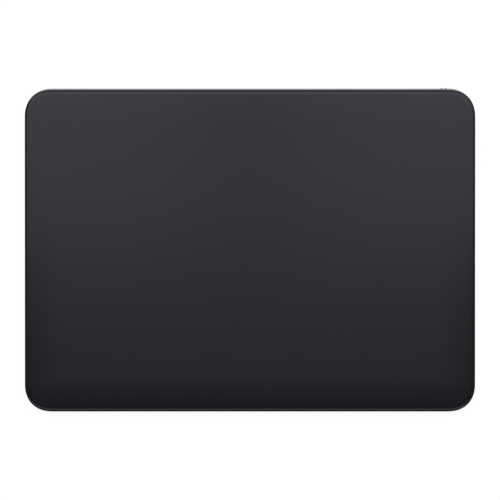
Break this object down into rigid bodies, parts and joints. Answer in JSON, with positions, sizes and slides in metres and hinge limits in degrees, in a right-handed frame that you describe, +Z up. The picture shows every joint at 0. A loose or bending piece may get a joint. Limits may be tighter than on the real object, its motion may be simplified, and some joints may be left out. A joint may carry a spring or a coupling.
{
  "type": "desktop trackpad",
  "caption": "Low wedge-shaped desktop trackpad: black etched touch glass on force flexures over a silver housing, with a haptic actuator, rear cable socket and slide switch.",
  "frame": {"origin": "on the desk, under the middle of the footprint", "axes": "+X to the user's right along the long side, +Y to the rear, +Z up"},
  "size_m": [0.16, 0.115, 0.0108],
  "materials": {
    "glass_black": "fine etched, satin, black backed",
    "aluminium_silver": "bead blasted and anodised",
    "knob_metal": "bead blasted and anodised",
    "cover_plastic": "fine moulded grain",
    "foot_rubber": "matt",
    "adhesive_film": "matt",
    "circuit_board": "solder mask",
    "chip_black": "moulded",
    "steel": "rolled sheet",
    "screw_steel": "turned",
    "core_iron": "laminated",
    "copper": "enamelled wire",
    "gel": "clear silicone",
    "flex_amber": "polyimide film",
    "cell_wrap": "laminate pouch",
    "contact_gold": "gold plated"
  },
  "bodies": {
    "base": {"housing": "aluminium_silver", "bottom_cover": "cover_plastic", "feet": "foot_rubber", "battery_strips": "adhesive_film", "cover_gasket": "adhesive_film", "main_board": "circuit_board", "battery_board": "circuit_board", "port_board": "circuit_board", "switch_board": "circuit_board", "board_chips": "chip_black", "port_tongue": "chip_black", "force_flexures": "steel", "actuator_bracket": "steel", "port_shell": "steel", "port_clamp": "steel", "switch_case": "steel", "shield_can": "steel", "battery_tabs": "steel", "flexure_screws": "screw_steel", "actuator_screws": "screw_steel", "board_screws": "screw_steel", "port_screws": "screw_steel", "switch_screws": "screw_steel", "actuator_core": "core_iron", "actuator_coils": "copper", "strain_gauges": "flex_amber", "gauge_flex": "flex_amber", "coil_flex": "flex_amber", "antenna_strip": "flex_amber", "battery_flex": "flex_amber", "sensor_flex": "flex_amber", "port_flex": "flex_amber", "switch_flex": "flex_amber", "battery_cell": "cell_wrap", "port_contacts": "contact_gold"},
    "force_tips": {"force_pucks": "steel", "gel_pads": "gel"},
    "touch_plate": {"touch_glass": "glass_black", "sensor_film": "adhesive_film", "sensor_board": "circuit_board", "sensor_chips": "chip_black", "armature_plate": "steel"},
    "power_slider": {"switch_knob": "knob_metal", "switch_lever": "chip_black"}
  },
  "joints": [
    {"name": "plate_press", "type": "slide", "parent": "base", "child": "force_tips", "axis": [0, 0.0523, -0.9986], "range_m": [0, 0.0002], "stiffness_N_per_m": 12000, "springref_m": -0.00012, "deforming": ["force_flexures", "sensor_flex"]},
    {"name": "haptic_shift", "type": "slide", "parent": "force_tips", "child": "touch_plate", "axis": [1, 0, 0], "range_m": [-0.0001, 0.0001], "stiffness_N_per_m": 12000, "deforming": ["gel_pads", "sensor_flex"]},
    {"name": "power_slide", "type": "slide", "parent": "base", "child": "power_slider", "axis": [1, 0, 0], "range_m": [-0.002, 0]}
  ]
}
